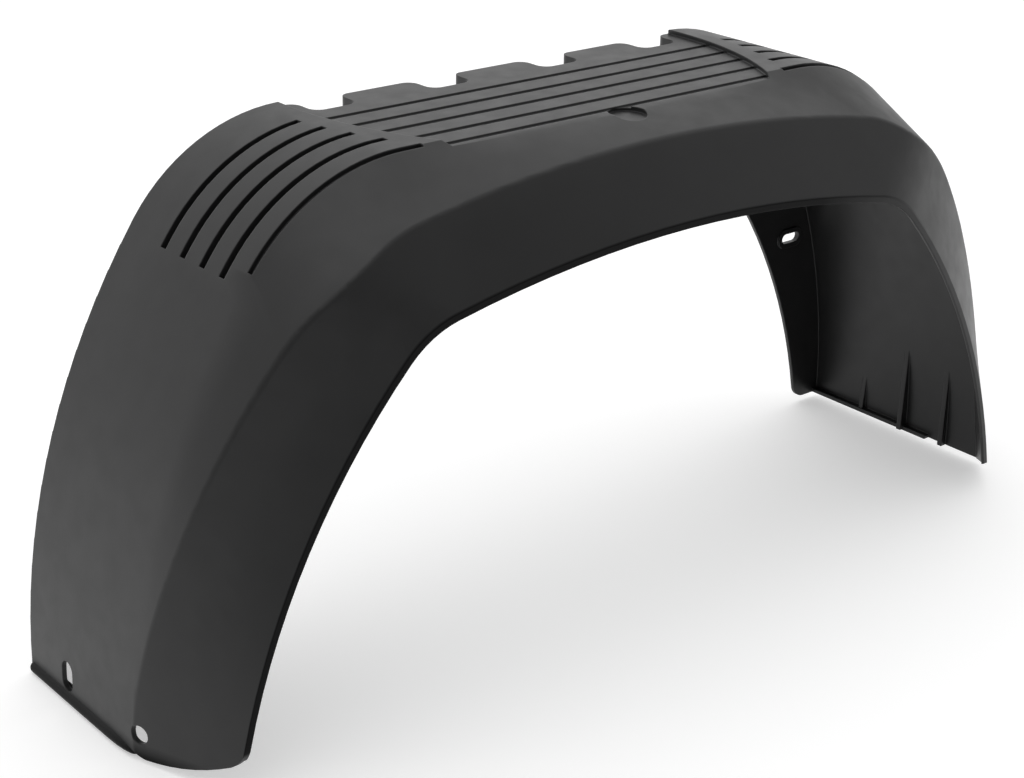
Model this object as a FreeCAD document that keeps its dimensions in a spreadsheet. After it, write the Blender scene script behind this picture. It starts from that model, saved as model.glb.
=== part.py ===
import FreeCAD, Part
import math
import os
import Sketcher
from FreeCAD import Placement, Rotation, Vector

# One moulded trailer mudguard. X runs along the trailer, Y from the outer side to the trailer side, Z up.
# It is drawn with its outer rim at Y = 0, and the finished body is then moved so that the origin lies on
# the ground under the middle of its length and width.

doc = FreeCAD.newDocument("mudguard")

# Driving sizes, in millimetres
sizes = {
    "length": 720, "width": 198, "height": 332,
    "wall": 3, "crown_wall": 6.5, "shoulder_wall": 4, "skirt_inset": 2.3,
    "leg_radius": 478, "corner_radius": 130,
    "leg_inset": 29, "arch_leg_radius": 439, "arch_leg_drop": 73,
    "arch_corner_radius": 65, "arch_crown_radius": 882, "crown_inset": 62, "rim_width": 4,
    "shoulder_start": 72, "shoulder_leg_radius": 383, "shoulder_corner_radius": 166,
    "shoulder_crown_radius": 754, "shoulder_fall": 18,
    "flare_depth": 90, "flare_rise": 94, "flare_crown_radius": 2210,
    "front_flare_out": 5.8, "front_flare_lean": 2.2, "front_flare_radius": 37,
    "rear_flare_out": 60, "rear_flare_lean": -6, "rear_flare_radius": 45,
    "crease_radius": 6, "inner_edge_radius": 1.2, "foot_edge_radius": 4.5,
    "foot_rise": 20, "foot_corner_radius": 14, "foot_lip": 5, "flange_corner_radius": 12,
    "rear_foot_start": 28, "rear_foot_rise": 14, "rear_raise": 3,
    "hem_radius": 4, "hem_out": 2.5, "hem_drop": 2.5, "hem_start": 102, "hem_tail": 30,
    "recess_depth": 3, "recess_half": 167, "recess_end_radius": 228, "recess_end_centre": 186,
    "line_width": 5, "line_depth": 1.1, "line_pitch": 21, "line_first": 72,
    "groove_width": 5.5, "groove_depth": 5, "groove_gap": 14, "groove_low_angle": 148,
    "groove_outer_width": 3.8, "groove_outer_depth": 3, "groove_outer_low_angle": 144,
    "notch_width": 33, "notch_depth": 23, "notch_drop": 40, "notch_radius": 8,
    "notch_mouth_radius": 8, "notch_near": 47, "notch_far": 138,
    "drain_radius": 12.5, "drain_x": 1.5, "drain_y": 62, "drain_depth": 6,
    "bolt_x": 309, "bolt_z": 147, "bolt_slot_width": 8, "bolt_slot_length": 19,
    "flap_slot_width": 12.5, "flap_slot_length": 20, "flap_slot_y": 150.5,
    "flap_hole_diameter": 12, "flap_hole_y": 68, "flap_hole_z": 16,
    "bolt_boss": 1.5, "rib_thickness": 4,
    "rib_short_y": 144, "rib_short_reach": 6, "rib_short_height": 45,
    "rib_tall_y": 101, "rib_tall_reach": 9, "rib_tall_height": 83,
    "rib_outer_y": 61, "rib_outer_reach": 7, "rib_outer_height": 81,
}
table = doc.addObject("Spreadsheet::Sheet", "sizes")
for row, (alias, number) in enumerate(sizes.items(), start=1):
    table.set(f"A{row}", alias)
    table.set(f"B{row}", str(number))
    table.setAlias(f"B{row}", alias)
doc.recompute()


def value(name):
    """Number in the table under an alias."""
    return float(table.get(name))


def bind(item, **links):
    """Tie properties of an object to expressions of the table."""
    for prop, expression in links.items():
        item.setExpression(prop.replace("__", "."), expression)
    return item


def upright_sketch(name, depth):
    """Empty sketch in a plane across Y at a given depth; its x is X and its y is Z."""
    sketch = doc.addObject("Sketcher::SketchObject", name)
    sketch.Placement = Placement(Vector(0, 0, 0), Rotation(Vector(1, 0, 0), 90))
    sketch.setExpression("Placement.Base.y", depth)
    return sketch


def evaluate(expression):
    """Present value of an expression, to draw a sketch near its final form."""
    return float(table.evalExpression(expression))


def arc(centre, radius, start, end):
    """Arc running anticlockwise from start to end, in radians."""
    circle = Part.Circle(Vector(centre[0], centre[1], 0), Vector(0, 0, 1), radius)
    return Part.ArcOfCircle(circle, start, end)


def segment(first, last):
    return Part.LineSegment(Vector(first[0], first[1], 0), Vector(last[0], last[1], 0))


def circle_meeting(one, reach_one, two, reach_two):
    """Left point at given distances from two centres."""
    gap = math.dist(one, two)
    along = (reach_one**2 - reach_two**2 + gap**2) / (2 * gap)
    aside = math.sqrt(reach_one**2 - along**2)
    ux, uy = (two[0] - one[0]) / gap, (two[1] - one[1]) / gap
    found = [(one[0] + along * ux - s * aside * uy, one[1] + along * uy + s * aside * ux) for s in (1, -1)]
    return min(found, key=lambda point: point[0])


def name_last(sketch, name, expression):
    """Name the newest constraint and tie it to the table."""
    index = sketch.ConstraintCount - 1
    sketch.renameConstraint(index, name)
    sketch.setExpression(f"Constraints.{name}", expression)


def close_arch(sketch, front_half, rear_half):
    """Tangent joints and base line shared by all arch outlines."""
    add = sketch.addConstraint
    for left, right in ((1, 0), (2, 1), (3, 2), (4, 3)):
        add(Sketcher.Constraint("Tangent", left, 2, right, 1))
    add(Sketcher.Constraint("Coincident", 0, 2, 5, 1))
    add(Sketcher.Constraint("Coincident", 4, 1, 5, 2))
    add(Sketcher.Constraint("PointOnObject", 5, 1, -1))
    add(Sketcher.Constraint("Horizontal", 5))
    add(Sketcher.Constraint("DistanceX", 5, 1, -1, 1, evaluate(front_half)))
    name_last(sketch, "front_half", front_half)
    add(Sketcher.Constraint("DistanceX", -1, 1, 5, 2, evaluate(rear_half)))
    name_last(sketch, "rear_half", rear_half)


def arch(name, depth, half, leg_radius, drop, corner_radius, crown_radius, top):
    """Closed arch outline: leg arcs, corner arcs and a crowned or flat top, standing on a base line.

    The leg arcs have their centres the given drop below the base, so a drop of 0 stands upright.
    """
    sketch = upright_sketch(name, depth)
    h, leg, low, corner, high = (evaluate(e) for e in (half, leg_radius, drop, corner_radius, top))
    leg_centre = (-h + math.sqrt(leg**2 - low**2), -low)
    if crown_radius is None:
        rise = high - corner + low
        corner_centre = (leg_centre[0] - math.sqrt((leg - corner) ** 2 - rise**2), high - corner)
        crown_turn = math.pi / 2
    else:
        crown = evaluate(crown_radius)
        crown_centre = (0, high - crown)
        corner_centre = circle_meeting(leg_centre, leg - corner, crown_centre, crown - corner)
        crown_turn = math.atan2(corner_centre[1] - crown_centre[1], corner_centre[0])
    foot_turn = math.pi - math.asin(low / leg)
    leg_turn = math.atan2(corner_centre[1] - leg_centre[1], corner_centre[0] - leg_centre[0])
    mirrored = [(-leg_centre[0], leg_centre[1]), (-corner_centre[0], corner_centre[1])]
    sketch.addGeometry(arc(leg_centre, leg, leg_turn, foot_turn), False)
    sketch.addGeometry(arc(corner_centre, corner, crown_turn, leg_turn), False)
    if crown_radius is None:
        sketch.addGeometry(segment((-corner_centre[0], high), (corner_centre[0], high)), False)
    else:
        sketch.addGeometry(arc(crown_centre, crown, math.pi - crown_turn, crown_turn), False)
    sketch.addGeometry(arc(mirrored[1], corner, math.pi - leg_turn, math.pi - crown_turn), False)
    sketch.addGeometry(arc(mirrored[0], leg, math.pi - foot_turn, math.pi - leg_turn), False)
    sketch.addGeometry(segment((-h, 0), (h, 0)), False)
    close_arch(sketch, half, half)
    add = sketch.addConstraint
    add(Sketcher.Constraint("Radius", 0, leg))
    name_last(sketch, "leg", leg_radius)
    add(Sketcher.Constraint("Equal", 0, 4))
    add(Sketcher.Constraint("Radius", 1, corner))
    name_last(sketch, "corner", corner_radius)
    add(Sketcher.Constraint("Equal", 1, 3))
    if drop == "0":
        add(Sketcher.Constraint("PointOnObject", 0, 3, -1))
        add(Sketcher.Constraint("PointOnObject", 4, 3, -1))
    else:
        add(Sketcher.Constraint("DistanceY", 0, 3, -1, 1, low))
        name_last(sketch, "drop", drop)
        add(Sketcher.Constraint("Horizontal", 0, 3, 4, 3))
    if crown_radius is None:
        add(Sketcher.Constraint("Horizontal", 2))
        add(Sketcher.Constraint("DistanceY", -1, 1, 2, 1, high))
        name_last(sketch, "top", top)
    else:
        add(Sketcher.Constraint("Radius", 2, crown))
        name_last(sketch, "crown", crown_radius)
        add(Sketcher.Constraint("PointOnObject", 2, 3, -2))
        add(Sketcher.Constraint("DistanceY", 2, 3, -1, 1, crown - high))
        name_last(sketch, "top", f"({crown_radius}) - ({top})")
    return sketch


def leaning_leg(half, lean, corner, crown, high):
    """Upper end of a leaning leg on the rear side, and the centre of the corner arc from it to the crown."""
    slope = math.tan(lean)
    inner = half - corner / math.cos(lean)
    crown_z = high - crown
    square = 1 + slope**2
    middle = crown_z - inner * slope
    rest = inner**2 + crown_z**2 - (crown - corner) ** 2
    centre_z = (middle + math.sqrt(middle**2 - square * rest)) / square
    centre_x = inner + centre_z * slope
    end = (centre_x + corner * math.cos(lean), centre_z - corner * math.sin(lean))
    return end, (centre_x, centre_z)


def flare(name, depth, inset="0"):
    """Closed outline set in by a given amount: straight leaning legs, tight corners and a crowned top.

    It stands wider at the rear than at the front, so the skirt it shapes is narrower there. Its legs, corners
    and top are longer than those of the arch by about the same share, which keeps the skirt smooth.
    """
    sketch = upright_sketch(name, depth)
    front_half = f"sizes.length / 2 + sizes.front_flare_out - {inset}"
    rear_half = f"sizes.length / 2 + sizes.rear_flare_out - {inset}"
    front_radius = f"sizes.front_flare_radius - {inset}"
    rear_radius = f"sizes.rear_flare_radius - {inset}"
    crown_radius = f"sizes.flare_crown_radius - {inset}"
    top = f"sizes.height + sizes.flare_rise - {inset}"
    front, rear, crown, high = (evaluate(e) for e in (front_half, rear_half, crown_radius, top))
    front_lean, rear_lean = math.radians(value("front_flare_lean")), math.radians(value("rear_flare_lean"))
    front_round, rear_round = evaluate(front_radius), evaluate(rear_radius)
    front_end, front_centre = leaning_leg(front, front_lean, front_round, crown, high)
    rear_end, rear_centre = leaning_leg(rear, rear_lean, rear_round, crown, high)
    front_turn = math.atan2(front_centre[1] - high + crown, -front_centre[0])
    rear_turn = math.atan2(rear_centre[1] - high + crown, rear_centre[0])
    upright = math.pi / 2
    sketch.addGeometry(segment((-front_end[0], front_end[1]), (-front, 0)), False)
    front_centre = (-front_centre[0], front_centre[1])
    sketch.addGeometry(arc(front_centre, front_round, front_turn, math.pi + front_lean), False)
    sketch.addGeometry(arc((0, high - crown), crown, rear_turn, front_turn), False)
    sketch.addGeometry(arc(rear_centre, rear_round, -rear_lean, rear_turn), False)
    sketch.addGeometry(segment((rear, 0), rear_end), False)
    sketch.addGeometry(segment((-front, 0), (rear, 0)), False)
    close_arch(sketch, front_half, rear_half)
    add = sketch.addConstraint
    add(Sketcher.Constraint("Radius", 1, front_round))
    name_last(sketch, "front_corner", front_radius)
    add(Sketcher.Constraint("Radius", 3, rear_round))
    name_last(sketch, "rear_corner", rear_radius)
    add(Sketcher.Constraint("Radius", 2, crown))
    name_last(sketch, "crown", crown_radius)
    add(Sketcher.Constraint("PointOnObject", 2, 3, -2))
    add(Sketcher.Constraint("DistanceY", 2, 3, -1, 1, crown - high))
    name_last(sketch, "top", f"({crown_radius}) - ({top})")
    add(Sketcher.Constraint("Angle", 5, 1, 0, 2, upright + front_lean))
    name_last(sketch, "front_lean", "90 + sizes.front_flare_lean")
    add(Sketcher.Constraint("Angle", 4, 1, 5, 2, upright + rear_lean))
    name_last(sketch, "rear_lean", "90 + sizes.rear_flare_lean")
    return sketch


def loft(name, sections):
    solid = doc.addObject("Part::Loft", name)
    solid.Sections = sections
    solid.Solid = True
    solid.Ruled = True
    return solid


def join(kind, name, shapes):
    result = doc.addObject(kind, name)
    result.Shapes = shapes
    return result


def cut(name, base, tool):
    result = doc.addObject("Part::Cut", name)
    result.Base = base
    result.Tool = tool
    return result


# Outer form: the tread with its falling shoulder, met by the skirt that opens toward the trailer
tread_sizes = ("sizes.length / 2", "sizes.leg_radius", "0", "sizes.corner_radius", None, "sizes.height")
shoulder = arch("shoulder_outline", "0", "sizes.length / 2", "sizes.shoulder_leg_radius", "0",
                "sizes.shoulder_corner_radius", "sizes.shoulder_crown_radius",
                "sizes.height - sizes.shoulder_fall")
tread_near = arch("tread_near_outline", "sizes.shoulder_start", *tread_sizes)
tread_far = arch("tread_far_outline", "sizes.width", *tread_sizes)
tread_form = loft("tread_form", [shoulder, tread_near, tread_far])

arch_half = "sizes.length / 2 - sizes.leg_inset"
arch_height = "sizes.height - sizes.crown_inset"
skirt_edge = arch("skirt_edge_outline", "0", f"{arch_half} + sizes.rim_width",
                  "sizes.arch_leg_radius + sizes.rim_width", "sizes.arch_leg_drop",
                  "sizes.arch_corner_radius + sizes.rim_width", "sizes.arch_crown_radius + sizes.rim_width",
                  f"{arch_height} + sizes.rim_width")
flare_near = flare("flare_near_outline", "sizes.flare_depth")
flare_far = flare("flare_far_outline", "sizes.width + 1")
skirt_form = loft("skirt_form", [skirt_edge, flare_near, flare_far])
outer_form = join("Part::MultiCommon", "outer_form", [tread_form, skirt_form])
doc.recompute()


def box(name, x, y, z, length, width, height):
    """Block with its low corner at x, y, z; all arguments are expressions."""
    block = doc.addObject("Part::Box", name)
    return bind(block, Placement__Base__x=x, Placement__Base__y=y, Placement__Base__z=z,
                Length=length, Width=width, Height=height)


def mirrored(name, source):
    """Copy on the other side of the middle of the arch."""
    copy = doc.addObject("Part::Mirroring", name)
    copy.Source = source
    copy.Normal = Vector(1, 0, 0)
    return copy


def extruded(name, sketch, direction, forward, back="0"):
    solid = doc.addObject("Part::Extrusion", name)
    solid.Base = sketch
    solid.DirMode = "Custom"
    solid.Dir = direction
    solid.Solid = True
    return bind(solid, LengthFwd=forward, LengthRev=back)


def edges_between(item, first, second):
    """Names of the edges where a face passing the first test meets one passing the second."""
    near = [face for face in item.Shape.Faces if first(face)]
    far = [face for face in item.Shape.Faces if second(face)]
    names = []
    for index, edge in enumerate(item.Shape.Edges, start=1):
        meets = [any(edge.isSame(other) for face in group for other in face.Edges) for group in (near, far)]
        if all(meets):
            names.append(f"Edge{index}")
    return names


def rounded(body, name, edges, radius):
    """Fillet in a body on named edges of its newest feature."""
    base = body.Tip
    fillet = body.newObject("PartDesign::Fillet", name)
    fillet.Base = (base, edges)
    fillet.setExpression("Radius", radius)
    body.Tip = fillet
    doc.recompute()
    return fillet


def started_body(name, source):
    """Body that starts from a finished shape."""
    body = doc.addObject("PartDesign::Body", name)
    body.BaseFeature = source
    doc.recompute()
    return body


half, width, height = value("length") / 2, value("width"), value("height")


def corners(face):
    return [vertex.Point for vertex in face.Vertexes]


def is_bottom(face):
    return all(abs(p.z) < 0.01 for p in corners(face))


def is_inner_side(face):
    return all(abs(p.y - width) < 0.01 for p in corners(face))


def is_skirt(face):
    low = min(p.y for p in corners(face))
    high = max(p.y for p in corners(face))
    return low < 0.01 and high > 1 and not is_bottom(face)


def is_tread(face):
    low = min(p.y for p in corners(face))
    return low > 1 and not is_bottom(face) and not is_inner_side(face)


# Soft crease between tread and skirt
creased_body = started_body("creased_body", outer_form)
crease_edges = edges_between(creased_body.Tip, is_skirt, is_tread)
rounded(creased_body, "crease", crease_edges, "sizes.crease_radius")


def side_sketch(name, level):
    """Empty sketch in the plane across X, at a given level; its x is Y and its y is Z."""
    sketch = doc.addObject("Sketcher::SketchObject", name)
    sketch.Placement = Placement(Vector(0, 0, 0), Rotation(Vector(1, 1, 1), 120))
    sketch.setExpression("Placement.Base.z", level)
    return sketch


def front_foot_outline():
    """What is trimmed under the front skirt: a long rising arc and a tight corner."""
    sketch = side_sketch("front_foot_outline", "0")
    start, rise, tight = value("shoulder_start"), value("foot_rise"), value("foot_corner_radius")
    long_radius = (start**2 + rise**2) / (2 * rise)
    tight_z = long_radius - math.sqrt((long_radius - tight) ** 2 - (start - tight) ** 2)
    turn = math.atan2(tight_z - long_radius, tight - start)
    sketch.addGeometry(arc((start, long_radius), long_radius, turn, -math.pi / 2), False)
    sketch.addGeometry(arc((tight, tight_z), tight, math.pi, turn), False)
    sketch.addGeometry(segment((0, tight_z), (-1, tight_z)), False)
    sketch.addGeometry(segment((-1, tight_z), (-1, -1)), False)
    sketch.addGeometry(segment((-1, -1), (start, -1)), False)
    sketch.addGeometry(segment((start, -1), (start, 0)), False)
    add = sketch.addConstraint
    add(Sketcher.Constraint("Tangent", 1, 2, 0, 1))
    add(Sketcher.Constraint("Coincident", 1, 1, 2, 1))
    for first, second in ((2, 3), (3, 4), (4, 5)):
        add(Sketcher.Constraint("Coincident", first, 2, second, 1))
    add(Sketcher.Constraint("Coincident", 5, 2, 0, 2))
    add(Sketcher.Constraint("Horizontal", 2))
    add(Sketcher.Constraint("Vertical", 3))
    add(Sketcher.Constraint("Horizontal", 4))
    add(Sketcher.Constraint("Vertical", 5))
    add(Sketcher.Constraint("PointOnObject", 2, 1, -2))
    add(Sketcher.Constraint("PointOnObject", 0, 2, -1))
    add(Sketcher.Constraint("Horizontal", 1, 3, 2, 1))
    add(Sketcher.Constraint("Vertical", 0, 3, 0, 2))
    add(Sketcher.Constraint("Radius", 0, long_radius))
    name_last(sketch, "long_radius",
              "(sizes.shoulder_start ^ 2 + sizes.foot_rise ^ 2) / (2 * sizes.foot_rise)")
    add(Sketcher.Constraint("Radius", 1, tight))
    name_last(sketch, "tight", "sizes.foot_corner_radius")
    add(Sketcher.Constraint("DistanceX", -1, 1, 0, 2, start))
    name_last(sketch, "start", "sizes.shoulder_start")
    add(Sketcher.Constraint("DistanceX", 3, 2, -1, 1, 1))
    add(Sketcher.Constraint("DistanceY", 3, 2, -1, 1, 1))
    return sketch


def rear_foot_outline():
    """What is trimmed under the rear skirt: a straight slant that leaves a sharp tip."""
    sketch = side_sketch("rear_foot_outline", "sizes.rear_raise")
    start = value("rear_foot_start")
    top = value("rear_foot_rise") * (start + 1) / start
    points = [(start, 0), (-1, top), (-1, -1), (start, -1)]
    for first, last in zip(points, points[1:] + points[:1]):
        sketch.addGeometry(segment(first, last), False)
    add = sketch.addConstraint
    for first, second in ((0, 1), (1, 2), (2, 3), (3, 0)):
        add(Sketcher.Constraint("Coincident", first, 2, second, 1))
    add(Sketcher.Constraint("Vertical", 1))
    add(Sketcher.Constraint("Horizontal", 2))
    add(Sketcher.Constraint("Vertical", 3))
    add(Sketcher.Constraint("PointOnObject", 0, 1, -1))
    add(Sketcher.Constraint("DistanceX", -1, 1, 0, 1, start))
    name_last(sketch, "start", "sizes.rear_foot_start")
    add(Sketcher.Constraint("DistanceY", -1, 1, 0, 2, top))
    name_last(sketch, "top", "sizes.rear_foot_rise * (sizes.rear_foot_start + 1) / sizes.rear_foot_start")
    add(Sketcher.Constraint("DistanceX", 2, 1, -1, 1, 1))
    add(Sketcher.Constraint("DistanceY", 2, 1, -1, 1, 1))
    return sketch


def foot_round(name, bar_x, block_x, level):
    """What lies outside a round bar along the bottom edge of one leg, at a given level."""
    bar = doc.addObject("Part::Cylinder", name + "_bar")
    bar.Placement = Placement(Vector(0, 0, 0), Rotation(Vector(1, 0, 0), -90))
    bind(bar, Radius="sizes.foot_edge_radius", Height="sizes.width + 4", Placement__Base__x=bar_x,
         Placement__Base__y="-2", Placement__Base__z=f"{level} + sizes.foot_edge_radius")
    block = box(name + "_block", block_x, "-1", f"{level} - 1", "sizes.foot_edge_radius + 1",
                "sizes.width + 2", "sizes.foot_edge_radius + 1")
    return cut(name, block, bar)


# Feet rising under the skirt: a long round one in front, a short one with a sharp tip at the rear, where the
# leg ends a little higher
leg_end, past_end = "sizes.length / 2", "sizes.length / 2 + 1"
front_trim = extruded("front_trim", front_foot_outline(), Vector(-1, 0, 0), past_end)
rear_trim = extruded("rear_trim", rear_foot_outline(), Vector(1, 0, 0), past_end)
rear_end = box("rear_end", "sizes.bolt_x / 2", "-1", "-1", f"{past_end} - sizes.bolt_x / 2",
               "sizes.width + 2", "sizes.rear_raise + 1")

# Rounded foot edges under the tread
front_foot_cut = foot_round("front_foot_cut", f"sizes.foot_edge_radius - {leg_end}", f"-{leg_end} - 1", "0")
rear_foot_cut = foot_round("rear_foot_cut", f"{leg_end} - sizes.foot_edge_radius",
                           f"{leg_end} - sizes.foot_edge_radius", "sizes.rear_raise")
foot_cuts = join("Part::MultiFuse", "foot_cuts",
                 [front_trim, rear_trim, rear_end, front_foot_cut, rear_foot_cut])

# Rounded inner edge on the creased form, then the foot cuts
edged_body = started_body("edged_body", creased_body)
inner_edges = edges_between(edged_body.Tip, is_inner_side, is_tread)
rounded(edged_body, "inner_edge", inner_edges, "sizes.inner_edge_radius")
outer_body = cut("outer_body", edged_body, foot_cuts)
doc.recompute()

# Hollow under the skin: the same outlines set in by the wall
hollow_sizes = ("sizes.length / 2 - sizes.wall", "sizes.leg_radius - sizes.wall", "0",
                "sizes.corner_radius - sizes.wall", None, "sizes.height - sizes.crown_wall")
shoulder_inside = arch("shoulder_inside_outline", "0", "sizes.length / 2 - sizes.wall",
                       "sizes.shoulder_leg_radius - sizes.wall", "0",
                       "sizes.shoulder_corner_radius - sizes.wall",
                       "sizes.shoulder_crown_radius - sizes.shoulder_wall",
                       "sizes.height - sizes.shoulder_fall - sizes.shoulder_wall")
tread_inside_near = arch("tread_inside_near_outline", "sizes.shoulder_start", *hollow_sizes)
tread_inside_far = arch("tread_inside_far_outline", "sizes.width - sizes.wall", *hollow_sizes)
tread_hollow = loft("tread_hollow", [shoulder_inside, tread_inside_near, tread_inside_far])
skirt_inside = arch("skirt_inside_outline", "sizes.skirt_inset",
                    f"{arch_half} + sizes.rim_width - sizes.skirt_inset",
                    "sizes.arch_leg_radius + sizes.rim_width - sizes.skirt_inset", "sizes.arch_leg_drop",
                    "sizes.arch_corner_radius + sizes.rim_width - sizes.skirt_inset",
                    "sizes.arch_crown_radius + sizes.rim_width - sizes.skirt_inset",
                    f"{arch_height} + sizes.rim_width - sizes.skirt_inset")
flare_inside_near = flare("flare_inside_near_outline", "sizes.flare_depth + sizes.skirt_inset",
                          "sizes.skirt_inset")
flare_inside_far = flare("flare_inside_far_outline", "sizes.width + 1", "sizes.skirt_inset")
skirt_hollow = loft("skirt_hollow", [skirt_inside, flare_inside_near, flare_inside_far])
hollow = join("Part::MultiCommon", "hollow", [tread_hollow, skirt_hollow])

# Wheel arch through the rim and the inner flange
arch_outline = arch("arch_outline", "-1", arch_half, "sizes.arch_leg_radius", "sizes.arch_leg_drop",
                    "sizes.arch_corner_radius", "sizes.arch_crown_radius", arch_height)
arch_opening = extruded("arch_opening", arch_outline, Vector(0, 1, 0), "sizes.width + 2")
skin = cut("skin", outer_body, join("Part::MultiFuse", "inside", [hollow, arch_opening]))
doc.recompute()

# Corner grooves: five sectors of a ring about each corner centre, with a thicker skin behind them
corner_x = ("(sizes.length / 2 - sizes.leg_radius + sqrt((sizes.leg_radius - sizes.corner_radius) ^ 2"
            " - (sizes.height - sizes.corner_radius) ^ 2))")
corner_z = "(sizes.height - sizes.corner_radius)"
line_rows = range(5)


def row_y(row):
    return f"(sizes.line_first + {row} * sizes.line_pitch)"


def recess_end(row):
    """Distance from the middle at which the recess ends, along a row of lines."""
    return ("(sizes.recess_half - sizes.recess_end_radius + sqrt(sizes.recess_end_radius ^ 2"
            f" - (sizes.recess_end_centre - {row_y(row)}) ^ 2))")


def groove_sector(name, row, radius, thickness, past_ends=0, low_angle="groove_low_angle"):
    """Sector of a round bar over the front corner, centred on a row.

    It runs the given degrees past both ends of the groove.
    """
    sector = doc.addObject("Part::Cylinder", name)
    turn = Rotation(Vector(1, 0, 0), -90) * Rotation(Vector(0, 0, 1), -value(low_angle) - past_ends)
    sector.Placement = Placement(Vector(0, 0, 0), turn)
    past_corner = f"({corner_x} - {recess_end(row)} - sizes.groove_gap)"
    upper_angle = f"90 - atan({past_corner} / sizes.corner_radius) / 1 deg"
    return bind(sector, Radius=radius, Height=thickness,
                Angle=f"sizes.{low_angle} - ({upper_angle}) + {2 * past_ends}",
                Placement__Base__x=f"-{corner_x}", Placement__Base__y=f"{row_y(row)} - ({thickness}) / 2",
                Placement__Base__z=corner_z)


def corner_core(name, radius):
    """Round bar inside the front corner, right across the mudguard."""
    core = doc.addObject("Part::Cylinder", name)
    core.Placement = Placement(Vector(0, 0, 0), Rotation(Vector(1, 0, 0), -90))
    return bind(core, Radius=radius, Height="sizes.width",
                Placement__Base__x=f"-{corner_x}", Placement__Base__z=corner_z)


backing_bars = [groove_sector(f"groove_backing_{row}", row, "sizes.corner_radius - 2.5",
                              "sizes.groove_width + 2 * sizes.wall", 2) for row in line_rows]
front_backing = cut("front_backing", join("Part::MultiFuse", "backing_bars", backing_bars),
                    corner_core("backing_core", "sizes.corner_radius - sizes.groove_depth - sizes.wall"))
groove_bars = [groove_sector(f"groove_{row}", row, "sizes.corner_radius + 3", "sizes.groove_width")
               for row in line_rows[1:]]
deep_grooves = cut("deep_grooves", join("Part::MultiFuse", "groove_bars", groove_bars),
                   corner_core("groove_core", "sizes.corner_radius - sizes.groove_depth"))
outer_bar = groove_sector("groove_0", 0, "sizes.corner_radius + 3", "sizes.groove_outer_width", 0,
                          "groove_outer_low_angle")
outer_groove = cut("outer_groove", outer_bar,
                   corner_core("outer_groove_core", "sizes.corner_radius - sizes.groove_outer_depth"))
front_grooves = join("Part::MultiFuse", "front_grooves", [deep_grooves, outer_groove])
doc.recompute()


def plan_sketch(name, level):
    """Empty sketch in a level plane; its x is X and its y is Y."""
    sketch = doc.addObject("Sketcher::SketchObject", name)
    sketch.setExpression("Placement.Base.z", level)
    return sketch


def recess_plan():
    """Plan of the sunk panel: two bowed ends between a straight outer side and a straight inner side."""
    sketch = plan_sketch("recess_plan", "sizes.height - sizes.recess_depth")
    bow, bow_y, reach = value("recess_end_radius"), value("recess_end_centre"), value("recess_half")
    near, far = value("line_first") / 2, width + 1
    turn_near, turn_far = math.asin((near - bow_y) / bow), math.asin((far - bow_y) / bow)
    side_near = reach - bow + bow * math.cos(turn_near)
    side_far = reach - bow + bow * math.cos(turn_far)
    sketch.addGeometry(arc((reach - bow, bow_y), bow, turn_near, turn_far), False)
    sketch.addGeometry(segment((side_far, far), (-side_far, far)), False)
    sketch.addGeometry(arc((bow - reach, bow_y), bow, math.pi - turn_far, math.pi - turn_near), False)
    sketch.addGeometry(segment((-side_near, near), (side_near, near)), False)
    add = sketch.addConstraint
    for first, second in ((0, 1), (1, 2), (2, 3), (3, 0)):
        add(Sketcher.Constraint("Coincident", first, 2, second, 1))
    add(Sketcher.Constraint("Horizontal", 1))
    add(Sketcher.Constraint("Horizontal", 3))
    add(Sketcher.Constraint("Equal", 0, 2))
    add(Sketcher.Constraint("Symmetric", 0, 3, 2, 3, -2))
    add(Sketcher.Constraint("Radius", 0, bow))
    name_last(sketch, "bow", "sizes.recess_end_radius")
    add(Sketcher.Constraint("DistanceY", -1, 1, 0, 3, bow_y))
    name_last(sketch, "bow_y", "sizes.recess_end_centre")
    add(Sketcher.Constraint("DistanceX", 0, 3, 2, 3, 2 * (bow - reach)))
    name_last(sketch, "bow_gap", "2 * (sizes.recess_end_radius - sizes.recess_half)")
    add(Sketcher.Constraint("DistanceY", -1, 1, 3, 1, near))
    name_last(sketch, "near", "sizes.line_first / 2")
    add(Sketcher.Constraint("DistanceY", -1, 1, 1, 1, far))
    name_last(sketch, "far", "sizes.width + 1")
    return sketch


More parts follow.
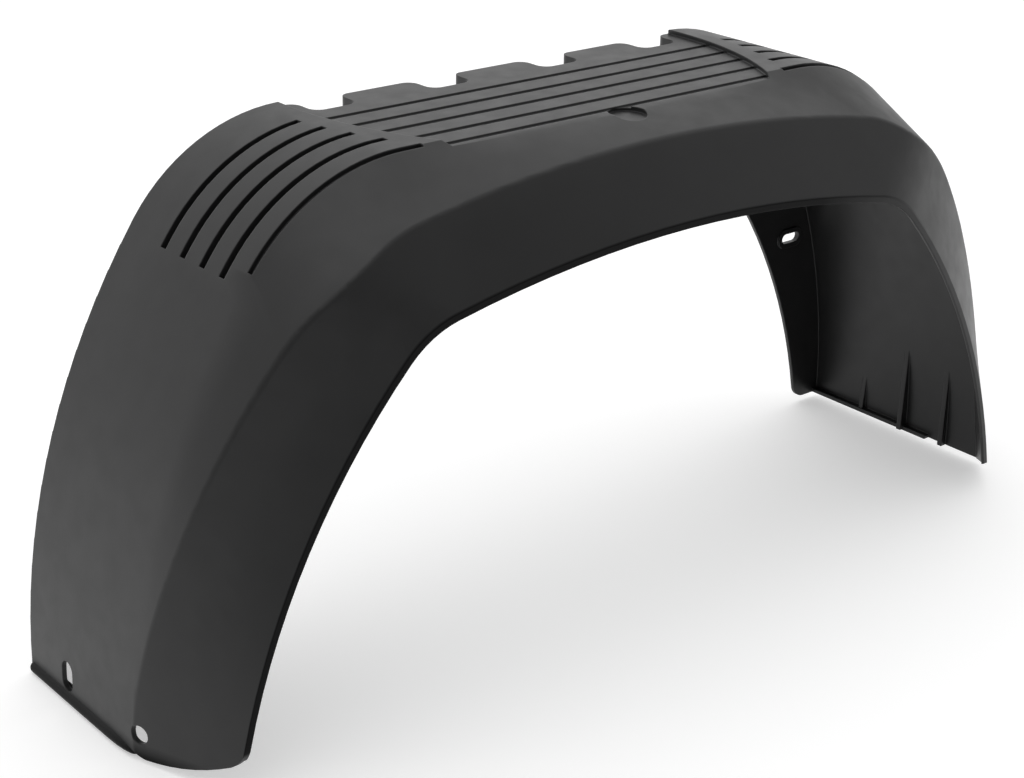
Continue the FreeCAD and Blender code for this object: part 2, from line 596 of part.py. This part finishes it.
def notch_plan(name, centre, level):
    """Plan of one notch in the inner edge: rounded mouth, straight sides and two rounded back corners."""
    sketch = plan_sketch(name, level)
    middle, wide = evaluate(centre), value("notch_width") / 2
    inside, mouth = value("notch_radius"), value("notch_mouth_radius")
    back, front = width - value("notch_depth"), width + 1
    left, right = middle - wide, middle + wide
    turn = math.pi / 2
    sketch.addGeometry(segment((left - mouth, front), (left - mouth, width)), False)
    sketch.addGeometry(arc((left - mouth, width - mouth), mouth, 0, turn), False)
    sketch.addGeometry(segment((left, width - mouth), (left, back + inside)), False)
    sketch.addGeometry(arc((left + inside, back + inside), inside, 2 * turn, 3 * turn), False)
    sketch.addGeometry(segment((left + inside, back), (right - inside, back)), False)
    sketch.addGeometry(arc((right - inside, back + inside), inside, 3 * turn, 4 * turn), False)
    sketch.addGeometry(segment((right, back + inside), (right, width - mouth)), False)
    sketch.addGeometry(arc((right + mouth, width - mouth), mouth, turn, 2 * turn), False)
    sketch.addGeometry(segment((right + mouth, width), (right + mouth, front)), False)
    sketch.addGeometry(segment((right + mouth, front), (left - mouth, front)), False)
    add = sketch.addConstraint
    add(Sketcher.Constraint("Coincident", 0, 2, 1, 2))
    add(Sketcher.Constraint("Tangent", 1, 1, 2, 1))
    for first, second in ((2, 3), (3, 4), (4, 5), (5, 6)):
        add(Sketcher.Constraint("Tangent", first, 2, second, 1))
    add(Sketcher.Constraint("Tangent", 6, 2, 7, 2))
    add(Sketcher.Constraint("Coincident", 7, 1, 8, 1))
    add(Sketcher.Constraint("Coincident", 8, 2, 9, 1))
    add(Sketcher.Constraint("Coincident", 9, 2, 0, 1))
    for upright in (0, 2, 6, 8):
        add(Sketcher.Constraint("Vertical", upright))
    add(Sketcher.Constraint("Vertical", 1, 3, 1, 2))
    add(Sketcher.Constraint("Vertical", 7, 3, 7, 1))
    add(Sketcher.Constraint("Horizontal", 4))
    add(Sketcher.Constraint("Horizontal", 9))
    add(Sketcher.Constraint("Horizontal", 0, 2, 8, 1))
    add(Sketcher.Constraint("Equal", 3, 5))
    add(Sketcher.Constraint("Radius", 3, inside))
    name_last(sketch, "inside_round", "sizes.notch_radius")
    add(Sketcher.Constraint("Equal", 1, 7))
    add(Sketcher.Constraint("Radius", 1, mouth))
    name_last(sketch, "mouth_round", "sizes.notch_mouth_radius")
    add(Sketcher.Constraint("DistanceX", 2, 1, 6, 2, 2 * wide))
    name_last(sketch, "wide", "sizes.notch_width")
    add(Sketcher.Constraint("DistanceY", 4, 1, 0, 2, width - back))
    name_last(sketch, "deep", "sizes.notch_depth")
    add(Sketcher.Constraint("DistanceY", 0, 2, 0, 1, 1))
    add(Sketcher.Constraint("DistanceY", -1, 1, 0, 2, width))
    name_last(sketch, "edge", "sizes.width")
    add(Sketcher.Constraint("DistanceX", -1, 1, 6, 2, right))
    name_last(sketch, "right", f"{centre} + sizes.notch_width / 2")
    return sketch


def slot_outline(sketch, x, z, length, across):
    """Round-ended slot along the x of a sketch, centred at x and z."""
    cx, cz, radius = evaluate(x), evaluate(z), evaluate(across) / 2
    reach = evaluate(length) / 2 - radius
    sketch.addGeometry(segment((cx + reach, cz + radius), (cx - reach, cz + radius)), False)
    sketch.addGeometry(arc((cx - reach, cz), radius, math.pi / 2, 1.5 * math.pi), False)
    sketch.addGeometry(segment((cx - reach, cz - radius), (cx + reach, cz - radius)), False)
    sketch.addGeometry(arc((cx + reach, cz), radius, -math.pi / 2, math.pi / 2), False)
    add = sketch.addConstraint
    for first, second in ((0, 1), (1, 2), (2, 3), (3, 0)):
        add(Sketcher.Constraint("Tangent", first, 2, second, 1))
    add(Sketcher.Constraint("Horizontal", 0))
    add(Sketcher.Constraint("Equal", 1, 3))
    add(Sketcher.Constraint("Radius", 1, radius))
    name_last(sketch, "end_radius", f"({across}) / 2")
    add(Sketcher.Constraint("DistanceX", 1, 3, 3, 3, 2 * reach))
    name_last(sketch, "between", f"({length}) - ({across})")
    add(Sketcher.Constraint("DistanceX", -1, 1, 3, 3, cx + reach))
    name_last(sketch, "right", f"({x}) + (({length}) - ({across})) / 2")
    add(Sketcher.Constraint("DistanceY", -1, 1, 3, 3, cz))
    name_last(sketch, "level", z)
    return sketch


def rib(name, y, foot, reach, tall, lean):
    """Gusset on the inside of the rear leg: a triangle on its short side, its back lying in the wall."""
    sketch = upright_sketch(name + "_outline", y)
    base, out, top, back = (evaluate(e) for e in (foot, reach, tall, lean))
    sketch.addGeometry(segment((base - out, 0), (base, 0)), False)
    sketch.addGeometry(segment((base, 0), (base - back, top)), False)
    sketch.addGeometry(segment((base - back, top), (base - out, 0)), False)
    add = sketch.addConstraint
    for first, second in ((0, 1), (1, 2), (2, 0)):
        add(Sketcher.Constraint("Coincident", first, 2, second, 1))
    add(Sketcher.Constraint("PointOnObject", 0, 2, -1))
    add(Sketcher.Constraint("Horizontal", 0))
    add(Sketcher.Constraint("DistanceX", -1, 1, 0, 2, base))
    name_last(sketch, "foot", foot)
    add(Sketcher.Constraint("DistanceX", 0, 1, 0, 2, out))
    name_last(sketch, "reach", reach)
    add(Sketcher.Constraint("DistanceY", 1, 1, 1, 2, top))
    name_last(sketch, "tall", tall)
    add(Sketcher.Constraint("DistanceX", 1, 2, 1, 1, back))
    name_last(sketch, "lean", lean)
    return extruded(name, sketch, Vector(0, 1, 0), "sizes.rib_thickness / 2", "sizes.rib_thickness / 2")


def upright_bar(name, radius, low, tall):
    """Upright round bar at the drain, from a given level."""
    bar = doc.addObject("Part::Cylinder", name)
    return bind(bar, Radius=radius, Height=tall, Placement__Base__x="sizes.drain_x",
                Placement__Base__y="sizes.drain_y", Placement__Base__z=low)


# Material added inside the skin: groove backing, notch pockets, drain floor, slot bosses, foot lips, gussets
notch_centres = {"notch_1": "-sizes.notch_far", "notch_2": "-sizes.notch_near",
                 "notch_3": "sizes.notch_near", "notch_4": "sizes.notch_far"}
pockets = [box(name + "_pocket", f"{centre} - sizes.notch_width / 2 - sizes.wall",
               "sizes.width - sizes.notch_depth - sizes.wall", "sizes.height - sizes.notch_drop - sizes.wall",
               "sizes.notch_width + 2 * sizes.wall", "sizes.notch_depth + sizes.wall - 1",
               "sizes.notch_drop + sizes.wall - sizes.crown_wall + 1")
           for name, centre in notch_centres.items()]
boss_plane = upright_sketch("rear_boss_outline", "sizes.width - sizes.wall - sizes.bolt_boss")
boss_sketch = slot_outline(boss_plane, "sizes.bolt_x", "sizes.bolt_z", "sizes.bolt_slot_length + 8",
                           "sizes.bolt_slot_width + 8")
drain_floor = upright_bar("drain_floor", "sizes.drain_radius + sizes.wall",
                          "sizes.height - sizes.drain_depth - sizes.wall", "sizes.drain_depth")
rear_boss = extruded("rear_boss", boss_sketch, Vector(0, 1, 0), "sizes.bolt_boss + 1")
lip_sizes = ("sizes.wall + sizes.foot_lip", "sizes.width - sizes.shoulder_start - 5", "sizes.wall")
front_lip = box("front_lip", f"-{leg_end}", "sizes.shoulder_start + 4", "0", *lip_sizes)
rear_lip = box("rear_lip", f"{leg_end} - sizes.wall - sizes.foot_lip", "sizes.shoulder_start + 4",
               "sizes.rear_raise", *lip_sizes)
bend = "{0} ^ 2 / (2 * sizes.leg_radius)"
ribs = [rib("rib_short", "sizes.rib_short_y", "sizes.length / 2 - 1", "sizes.rib_short_reach",
            "sizes.rib_short_height", bend.format("sizes.rib_short_height")),
        rib("rib_tall", "sizes.rib_tall_y", "sizes.length / 2 - 1", "sizes.rib_tall_reach",
            "sizes.rib_tall_height", bend.format("sizes.rib_tall_height")),
        rib("rib_outer", "sizes.rib_outer_y", "sizes.length / 2 - 1", "sizes.rib_outer_reach",
            "sizes.rib_outer_height", bend.format("sizes.rib_outer_height"))]
rear_backing = mirrored("rear_backing", front_backing)
front_boss = mirrored("front_boss", rear_boss)
pairs_inside = [front_backing, rear_backing, rear_boss, front_boss, front_lip, rear_lip]
inside_parts = join("Part::MultiFuse", "inside_parts", pairs_inside + pockets + ribs + [drain_floor])
kept_inside = join("Part::MultiCommon", "kept_inside", [outer_body, inside_parts])

# Rolled hem along the bottom of the front leg: a round bar a little below and outside the wall, with a ball
# at its inner end and a long tail at its outer end that sinks into the foot
hem_x, hem_z = "sizes.hem_radius - sizes.hem_out - sizes.length / 2", "sizes.hem_radius - sizes.hem_drop"
hem_end = "sizes.width - sizes.hem_radius"
hem_bar = doc.addObject("Part::Cylinder", "hem_bar")
hem_bar.Placement = Placement(Vector(0, 0, 0), Rotation(Vector(1, 0, 0), -90))
bind(hem_bar, Radius="sizes.hem_radius", Height=f"{hem_end} - sizes.hem_start", Placement__Base__x=hem_x,
     Placement__Base__y="sizes.hem_start", Placement__Base__z=hem_z)
hem_ball = doc.addObject("Part::Sphere", "hem_ball")
bind(hem_ball, Radius="sizes.hem_radius", Placement__Base__x=hem_x, Placement__Base__y=hem_end,
     Placement__Base__z=hem_z)
hem_tail = doc.addObject("Part::Ellipsoid", "hem_tail")
hem_tail.Placement = Placement(Vector(0, 0, 0), Rotation(Vector(1, 0, 0), -90))
bind(hem_tail, Radius1="sizes.hem_tail", Radius2="sizes.hem_radius", Radius3="sizes.hem_radius",
     Placement__Base__x=hem_x, Placement__Base__y="sizes.hem_start", Placement__Base__z=hem_z)
added = join("Part::MultiFuse", "added", [skin, kept_inside, hem_bar, hem_ball, hem_tail])
doc.recompute()

# Material taken away: sunk panel, its lines, corner grooves, notches, drain, slots and holes
recess_sketch = recess_plan()
recess = extruded("recess", recess_sketch, Vector(0, 0, 1), "sizes.recess_depth + 1", "0")
line_zone = extruded("line_zone", recess_sketch, Vector(0, 0, 1), "1", "sizes.line_depth")
line_bars = [box(f"line_{row}", "-sizes.recess_half", f"{row_y(row)} - sizes.line_width / 2",
                 "sizes.height - sizes.recess_depth - sizes.line_depth - 1", "2 * sizes.recess_half",
                 "sizes.line_width", "sizes.line_depth + 2") for row in line_rows]
lines = join("Part::MultiCommon", "lines", [line_zone, join("Part::MultiFuse", "line_bars", line_bars)])
notch_floor = "sizes.height - sizes.notch_drop"
notches = []
for name, centre in notch_centres.items():
    plan = notch_plan(name + "_plan", centre, notch_floor)
    notches.append(extruded(name, plan, Vector(0, 0, 1), "sizes.notch_drop + 1"))
drain = upright_bar("drain", "sizes.drain_radius", "sizes.height - sizes.drain_depth",
                    "sizes.drain_depth + 1")
slot_plane = upright_sketch("rear_slot_outline", "sizes.width - sizes.wall - sizes.bolt_boss - 1")
slot_sketch = slot_outline(slot_plane, "sizes.bolt_x", "sizes.bolt_z", "sizes.bolt_slot_length",
                           "sizes.bolt_slot_width")
rear_slot = extruded("rear_slot", slot_sketch, Vector(0, 1, 0), "sizes.wall + sizes.bolt_boss + 2")


# Slot and hole along X through the front leg, near its foot, for a mud flap
flap_plane = doc.addObject("Sketcher::SketchObject", "flap_slot_outline")
flap_plane.Placement = Placement(Vector(0, 0, 0), Rotation(Vector(0, 1, 0), -90))
bind(flap_plane, Placement__Base__x="-sizes.length / 2 - 1")
flap_sketch = slot_outline(flap_plane, "sizes.flap_hole_z", "sizes.flap_slot_y", "sizes.flap_slot_length",
                           "sizes.flap_slot_width")
flap_reach = "3 * sizes.foot_rise / 2"
flap_slot = extruded("flap_slot", flap_sketch, Vector(1, 0, 0), flap_reach)
flap_hole = doc.addObject("Part::Cylinder", "flap_hole")
flap_hole.Placement = Placement(Vector(0, 0, 0), Rotation(Vector(0, 1, 0), 90))
bind(flap_hole, Radius="sizes.flap_hole_diameter / 2", Height=flap_reach,
     Placement__Base__x="-sizes.length / 2 - 1", Placement__Base__y="sizes.flap_hole_y",
     Placement__Base__z="sizes.flap_hole_z")
rear_grooves = mirrored("rear_grooves", front_grooves)
front_slot = mirrored("front_slot", rear_slot)
cut_features = [front_grooves, rear_grooves, recess, lines, drain, rear_slot, front_slot]
removed = join("Part::MultiFuse", "removed", cut_features + notches + [flap_slot, flap_hole])
doc.recompute()
moulding = cut("moulding", added, removed)
doc.recompute()


def is_flange_end(face):
    """Underside of the inner flange at one foot, at the level of that foot."""
    foot = 0 if corners(face)[0].x < 0 else value("rear_raise")
    at_foot = all(abs(p.z - foot) < 0.01 for p in corners(face))
    return at_foot and max(abs(p.x) for p in corners(face)) > half - value("leg_inset")


def is_flange_edge(face):
    """Edge face of the inner flange, through its thickness."""
    depths = [p.y for p in corners(face)]
    through = min(depths) > width - value("wall") - 0.01 and max(depths) - min(depths) > value("wall") / 2
    return through and not is_flange_end(face)


# The finished moulding, with rounded lower corners on its inner flange
mudguard = started_body("mudguard", moulding)
mudguard.Label = "mudguard"
flange_corners = edges_between(mudguard.Tip, is_flange_end, is_flange_edge)
rounded(mudguard, "flange_corner", flange_corners, "sizes.flange_corner_radius")
bind(mudguard, Placement__Base__x="sizes.hem_out / 2", Placement__Base__y="-sizes.width / 2",
     Placement__Base__z="sizes.hem_drop")
doc.recompute()

for item in doc.Objects:
    if "Invalid" in item.State or "Error" in item.State:
        raise RuntimeError(f"{item.Name} did not recompute: {item.State}")
    if item.TypeId == "Sketcher::SketchObject" and not item.FullyConstrained:
        raise RuntimeError(f"{item.Name} is not fully constrained")
    is_solid = item.TypeId.startswith("Part") and hasattr(item, "Shape")
    if is_solid and (item.Shape.isNull() or not item.Shape.isValid()):
        raise RuntimeError(f"{item.Name} has no valid shape")
cut_away = added.Shape.Volume - moulding.Shape.Volume
if len(mudguard.Shape.Solids) != 1 or cut_away < recess.Shape.Volume / 2:
    raise RuntimeError("the mudguard is not one solid, or its cuts missed it")

os.makedirs("parts", exist_ok=True)
mudguard.Shape.exportStep(f"parts/{mudguard.Label}.step")
print(f"mudguard: {mudguard.Shape.Volume / 1000:.1f} cm3, {len(mudguard.Shape.Faces)} faces")
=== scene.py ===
# %% [markdown]
# # A trailer mudguard in black plastic
# The real thing is one moulding: a wheel arch in black plastic with a satin, faintly grained skin. Its
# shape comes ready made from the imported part, in metres, so nothing is modelled again here. The lesson
# smooths its shading and gives it a finish, stands it on a pale floor, lights it as in a small studio and
# puts the camera where the photographer stood.

# %% Load the part
import bmesh
import bpy
import math
import numpy as np
from mathutils import Matrix, Vector


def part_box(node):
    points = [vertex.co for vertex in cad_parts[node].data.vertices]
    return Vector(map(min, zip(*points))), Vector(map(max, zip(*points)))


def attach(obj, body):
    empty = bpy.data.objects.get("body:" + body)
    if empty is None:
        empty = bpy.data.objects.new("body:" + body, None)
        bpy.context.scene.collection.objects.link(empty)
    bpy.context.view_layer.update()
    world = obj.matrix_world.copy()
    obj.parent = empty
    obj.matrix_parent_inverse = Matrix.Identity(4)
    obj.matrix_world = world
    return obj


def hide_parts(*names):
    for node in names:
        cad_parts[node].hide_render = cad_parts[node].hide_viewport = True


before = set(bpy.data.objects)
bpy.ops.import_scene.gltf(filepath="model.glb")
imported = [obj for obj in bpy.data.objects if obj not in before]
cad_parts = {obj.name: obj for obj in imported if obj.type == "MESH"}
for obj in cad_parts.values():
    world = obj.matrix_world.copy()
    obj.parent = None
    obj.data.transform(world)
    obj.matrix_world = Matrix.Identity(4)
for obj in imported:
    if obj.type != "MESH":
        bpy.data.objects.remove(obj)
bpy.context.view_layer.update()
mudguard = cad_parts["mudguard"]
low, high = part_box("mudguard")
spans = [round(float(v), 3) for v in np.subtract(high, low)]
print("mudguard spans", spans, "m, in", len(mudguard.data.polygons), "triangles")

# %% [markdown]
# ## One skin
# The real moulding is one piece of plastic, and its skin runs on over every soft bend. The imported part
# arrives as loose triangles. They could be shaded smooth as they are, but loose triangles share no points,
# so nothing would blend from one to the next. So a copy of the mesh has its points merged. No point of the
# shape moves.

# %% Merged skin
merge_distance = 0.000001
skin_mesh = mudguard.data.copy()
merged = bmesh.new()
merged.from_mesh(skin_mesh)
bmesh.ops.remove_doubles(merged, verts=merged.verts, dist=merge_distance)
merged.to_mesh(skin_mesh)
merged.free()
if "custom_normal" in skin_mesh.attributes:
    skin_mesh.attributes.remove(skin_mesh.attributes["custom_normal"])
print("merged skin of", len(skin_mesh.vertices), "points, from", len(mudguard.data.vertices))

# %% [markdown]
# ## Soft bends and sharp edges
# On the real moulding the tread rolls over into the shoulder without a line, because the steel of the mould
# was polished there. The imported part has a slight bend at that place, which would show as a line. A wide
# fillet would not do: the bend runs out to nothing at the foot. So the shading does it. Edges that turn by
# more than 26 degrees stay sharp, the narrow rim round the arch stays crisp all along, and elsewhere the
# normals follow the larger faces.

# %% Sharp edges and even normals
sharp_angle = math.radians(26)
rim_slack = 0.0001
skin_mesh.shade_smooth()
skin_mesh.set_sharp_from_angle(angle=sharp_angle)
points = np.empty(3 * len(skin_mesh.vertices))
skin_mesh.vertices.foreach_get("co", points)
ends = np.empty(2 * len(skin_mesh.edges), int)
skin_mesh.edges.foreach_get("vertices", ends)
on_rim = points.reshape(-1, 3)[ends.reshape(-1, 2), 1].max(axis=1) < low.y + rim_slack
sharp = np.empty(len(skin_mesh.edges), bool)
skin_mesh.attributes["sharp_edge"].data.foreach_get("value", sharp)
sharp |= on_rim
skin_mesh.attributes["sharp_edge"].data.foreach_set("value", sharp)
moulding = bpy.data.objects.new("mudguard_skin", skin_mesh)
bpy.context.scene.collection.objects.link(moulding)
even = moulding.modifiers.new("even_normals", "WEIGHTED_NORMAL")
even.keep_sharp = True
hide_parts("mudguard")
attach(moulding, "root")
print("sharp edges:", int(sharp.sum()), "of", len(sharp), "with", int(on_rim.sum()), "on the rim")

# %% [markdown]
# ## The camera
# The picture was taken from the front left, a little above the arch, with a lens of medium length. A camera
# can be set with a look-at constraint, but its roll would be lost. Here its three directions are worked out
# from a turn about the upright, a rise above the floor and a small roll, and put straight into its matrix.

# %% Camera
aim = Vector((-0.07745, -0.0270, 0.1618))
turn, rise, roll = math.radians(-40.194), math.radians(23.255), math.radians(1.217)
distance = 1.2779
back = Vector((math.sin(turn) * math.cos(rise), -math.cos(turn) * math.cos(rise), math.sin(rise)))
level_right = Vector((math.cos(turn), math.sin(turn), 0))
level_up = back.cross(level_right)
right = level_right * math.cos(roll) + level_up * math.sin(roll)
up = level_up * math.cos(roll) - level_right * math.sin(roll)
lens = bpy.data.cameras.new("photo_camera")
lens.sensor_width = 36
lens.lens = 71.05
camera = bpy.data.objects.new("photo_camera", lens)
directions = Matrix((right, up, back)).transposed().to_4x4()
camera.matrix_world = Matrix.Translation(aim + back * distance) @ directions
bpy.context.scene.collection.objects.link(camera)
bpy.context.scene.camera = camera
print("camera at", [round(v, 3) for v in camera.location])

# %% [markdown]
# ## The plastic's colour
# Soot in the plastic makes it a deep black that is never quite even: it flows into the mould in slow
# clouds. One flat black would look like a cut-out, and a picture of plastic would not fit a curved arch. So
# two blacks are mixed by a soft noise that fills space, read from Object coordinates, and the clouds run
# round every corner.

# %% Black plastic: colour
plastic = bpy.data.materials.new("black_plastic")
plastic.use_nodes = True
tree = plastic.node_tree
skin = tree.nodes["Principled BSDF"]
place = tree.nodes.new("ShaderNodeTexCoord")


def link(source, target):
    """Join an output socket to an input socket in the tree being built."""
    tree.links.new(source, target)


def noise(scale, detail):
    """Noise in space at a number of lumps to the metre, as a value round 0.5."""
    node = tree.nodes.new("ShaderNodeTexNoise")
    node.inputs["Scale"].default_value = scale
    node.inputs["Detail"].default_value = detail
    link(place.outputs["Object"], node.inputs["Vector"])
    return node.outputs["Fac"]


def ranged(value, start, end, first, last):
    """Value carried evenly from one range to another, and held at its ends."""
    node = tree.nodes.new("ShaderNodeMapRange")
    for name, number in (("From Min", start), ("From Max", end), ("To Min", first), ("To Max", last)):
        node.inputs[name].default_value = number
    link(value, node.inputs["Value"])
    return node.outputs["Result"]


def mixed(share, first, last):
    """Colour between two others, by a share from 0 to 1; each may be a colour or a socket."""
    node = tree.nodes.new("ShaderNodeMix")
    node.data_type = "RGBA"
    link(share, node.inputs["Factor"])
    for socket, colour in ((node.inputs[6], first), (node.inputs[7], last)):
        if isinstance(colour, tuple):
            socket.default_value = (*colour, 1)
        else:
            link(colour, socket)
    return node.outputs[2]


clouds_per_metre = 16
deep_black, soft_black = (0.0125, 0.0125, 0.0128), (0.0165, 0.0165, 0.0168)
clouds = noise(scale=clouds_per_metre, detail=4)
black = mixed(ranged(clouds, 0.3, 0.7, 0, 1), deep_black, soft_black)
print("two blacks mixed by clouds about", round(1000 / clouds_per_metre), "mm across")

# %% [markdown]
# ## Edges
# A moulding has no knife edges: the steel it was pressed in is rounded a little everywhere. Rounding each
# of some hundred edges in the mesh would change the part. A Bevel node only bends the shading there, and
# how far it bends away from the true face tells where the edges are. There the black is painted a little
# lighter: a painted highlight along every edge, in hollows as well as on corners.

# %% Edges with a painted highlight
edge_radius = 0.0012
# Painted highlight: the edges get a lighter black than the rest of the skin.
painted_highlight_black = (0.019, 0.019, 0.0195)
edge_round = tree.nodes.new("ShaderNodeBevel")
edge_round.samples = 8
edge_round.inputs["Radius"].default_value = edge_radius
true_face = tree.nodes.new("ShaderNodeNewGeometry")
agree = tree.nodes.new("ShaderNodeVectorMath")
agree.operation = "DOT_PRODUCT"
link(edge_round.outputs["Normal"], agree.inputs[0])
link(true_face.outputs["Normal"], agree.inputs[1])
edge_highlight_mask = ranged(agree.outputs["Value"], 0.995, 0.86, 0, 1)
black_with_painted_highlight = mixed(edge_highlight_mask, black, painted_highlight_black)
print("edges shaded as if rounded by", 1000 * edge_radius, "mm")

# %% [markdown]
# ## Gloss and grain
# The skin is satin: it mirrors a white wall as a soft glow. Where the mould was worn the plastic is a
# little shinier, so the roughness wanders too. Over it lies a fine grain, about a millimetre from lump to
# lump, which is far too small to model. A Bump node bends the light by it instead. A second, slow bump
# gives the slight waviness that a thin wall takes on as it cools.

# %% Satin and grain
satin = noise(scale=70, detail=3)
worn_satin = ranged(satin, 0.25, 0.75, 0.37, 0.45)
link(worn_satin, skin.inputs["Roughness"])


def bump(height, depth, strength, under):
    """Normal bent by a height, its depth in metres, over the normal under it."""
    node = tree.nodes.new("ShaderNodeBump")
    node.inputs["Distance"].default_value = depth
    node.inputs["Strength"].default_value = strength
    link(height, node.inputs["Height"])
    link(under, node.inputs["Normal"])
    return node.outputs["Normal"]


wavy = bump(noise(scale=22, detail=1), depth=0.0006, strength=0.35, under=edge_round.outputs["Normal"])
grained = bump(noise(scale=950, detail=2), depth=0.00006, strength=0.45, under=wavy)
link(grained, skin.inputs["Normal"])
skin_mesh.materials.clear()
skin_mesh.materials.append(plastic)
print("black_plastic is on", moulding.name, "with", len(tree.nodes), "nodes so far")

# %% [markdown]
# ## Painted shade on the rim and foot
# The front foot and the edge round the wheel arch carry painted shade: a darker black and a weaker mirror,
# so that they read as a thin dark line, as if in shadow. The rear leg's rim is left out of it and still
# shines. The rim could have a material of its own, but it is simply the outermost half millimetre of the
# part, and the foot its lowest centimetre. So the place in the part, from Object coordinates, turns the
# mirror and the colour down there.

# %% Painted shade on the rim and foot
rim_start, rim_end = low.y + 0.0002, low.y + 0.0008
foot_start, foot_end = low.z + 0.0045, low.z + 0.0135
rear_start, rear_end = 0.12, 0.26
# Painted shade on the front rim and foot: a darker black and a weaker mirror there.
painted_shade_shine, satin_shine = 0.06, 0.42
painted_shade_black = (0.007, 0.007, 0.0072)


def combined(operation, first, second):
    """Two values put together in one way, such as MAXIMUM."""
    node = tree.nodes.new("ShaderNodeMath")
    node.operation = operation
    link(first, node.inputs[0])
    link(second, node.inputs[1])
    return node.outputs[0]


spot = tree.nodes.new("ShaderNodeSeparateXYZ")
link(place.outputs["Object"], spot.inputs["Vector"])
off_rim = ranged(spot.outputs["Y"], rim_start, rim_end, 0, 1)
off_foot = ranged(spot.outputs["Z"], foot_start, foot_end, 0, 1)
to_rear = ranged(spot.outputs["X"], rear_start, rear_end, 0, 1)
# The mask is 1 outside the painted shade and 0 on the front rim and foot; the rear leg is kept out of it.
outside_painted_shade = combined("MAXIMUM", to_rear, combined("MINIMUM", off_rim, off_foot))
link(ranged(outside_painted_shade, 0, 1, painted_shade_shine, satin_shine), skin.inputs["Specular IOR Level"])
link(mixed(outside_painted_shade, painted_shade_black, black_with_painted_highlight), skin.inputs["Base Color"])
print("dull rim to y =", round(rim_end, 4), "and foot to z =", round(foot_end, 4), "before x =", rear_start)

# %% [markdown]
# ## The floor
# The mudguard stands on white paper. A diffuse white takes its soft shadow, but in a picture of a black
# thing the paper should still come out white, so a little of it glows for the rays that see it directly or
# in a reflection, and none for the rays that light the object. The shadow stays.

# %% White paper floor
reach = 12.0
corners = reach * np.array([(-1, -1, 0), (1, -1, 0), (1, 1, 0), (-1, 1, 0)])
floor_mesh = bpy.data.meshes.new("paper_floor")
floor_mesh.from_pydata(corners.tolist(), [], [(0, 1, 2, 3)])
floor = bpy.data.objects.new("paper_floor", floor_mesh)
bpy.context.scene.collection.objects.link(floor)

paper_white, paper_glow = (0.8, 0.8, 0.8, 1), 0.4
paper = bpy.data.materials.new("white_paper")
paper.use_nodes = True
tree = paper.node_tree
tree.nodes.clear()
ray = tree.nodes.new("ShaderNodeLightPath")
seen = combined("MAXIMUM", ray.outputs["Is Camera Ray"], ray.outputs["Is Glossy Ray"])
seen = combined("MAXIMUM", seen, ray.outputs["Is Transmission Ray"])
sheet = tree.nodes.new("ShaderNodeBsdfDiffuse")
sheet.inputs["Color"].default_value = paper_white
glow = tree.nodes.new("ShaderNodeEmission")
link(ranged(seen, 0, 1, 0, paper_glow), glow.inputs["Strength"])
both = tree.nodes.new("ShaderNodeAddShader")
link(sheet.outputs[0], both.inputs[0])
link(glow.outputs[0], both.inputs[1])
surface = tree.nodes.new("ShaderNodeOutputMaterial")
link(both.outputs[0], surface.inputs["Surface"])
floor_mesh.materials.append(paper)
print("floor", 2 * reach, "m square")

# %% [markdown]
# ## The studio
# Black plastic shows hardly any colour of its own: what we see is the room mirrored in it. In the picture
# the tread and the top mirror a white wall and ceiling, and the skirt mirrors the dim room behind the
# photographer. Cards and lamps could be set up one by one, but their edges would show in the plastic. The
# world does it without edges: its strength depends on how far a direction leans toward the wall at the back
# and the ceiling.

# %% White wall and ceiling, dim front
wall_direction = Vector((0.2, 0.72, 0.65)).normalized()
dim, bright = 0.18, 1
studio = bpy.data.worlds.new("studio")
bpy.context.scene.world = studio
studio.use_nodes = True
tree = studio.node_tree
toward = tree.nodes.new("ShaderNodeTexCoord")
lean = tree.nodes.new("ShaderNodeVectorMath")
lean.operation = "DOT_PRODUCT"
lean.inputs[1].default_value = wall_direction
link(toward.outputs["Generated"], lean.inputs[0])
backdrop = tree.nodes["Background"]
backdrop.inputs["Color"].default_value = (1, 1, 1, 1)
link(ranged(lean.outputs["Value"], -0.5, 0.74, dim, bright), backdrop.inputs["Strength"])
print("world from", dim, "in front to", bright, "at the back")

# %% [markdown]
# ## The softbox
# One large lamp overhead gives the floor shadow its direction and lifts the rounded corners. It is big and
# weak, so it leaves no hard highlight.

# %% Softbox overhead
middle = Vector((0, 0, 0.15))
overhead = bpy.data.lights.new("overhead", "AREA")
overhead.size = 3.0
overhead.energy = 20
holder = bpy.data.objects.new("overhead", overhead)
holder.location = (-0.3, 0.6, 3.5)
holder.rotation_euler = (middle - holder.location).to_track_quat("-Z", "Y").to_euler()
bpy.context.scene.collection.objects.link(holder)
print("softbox", overhead.size, "m wide,", overhead.energy, "W")

# %% [markdown]
# ## Finish
# Colours are shown plainly, with no film look over them.

# %% View
bpy.context.scene.view_settings.view_transform = "Standard"
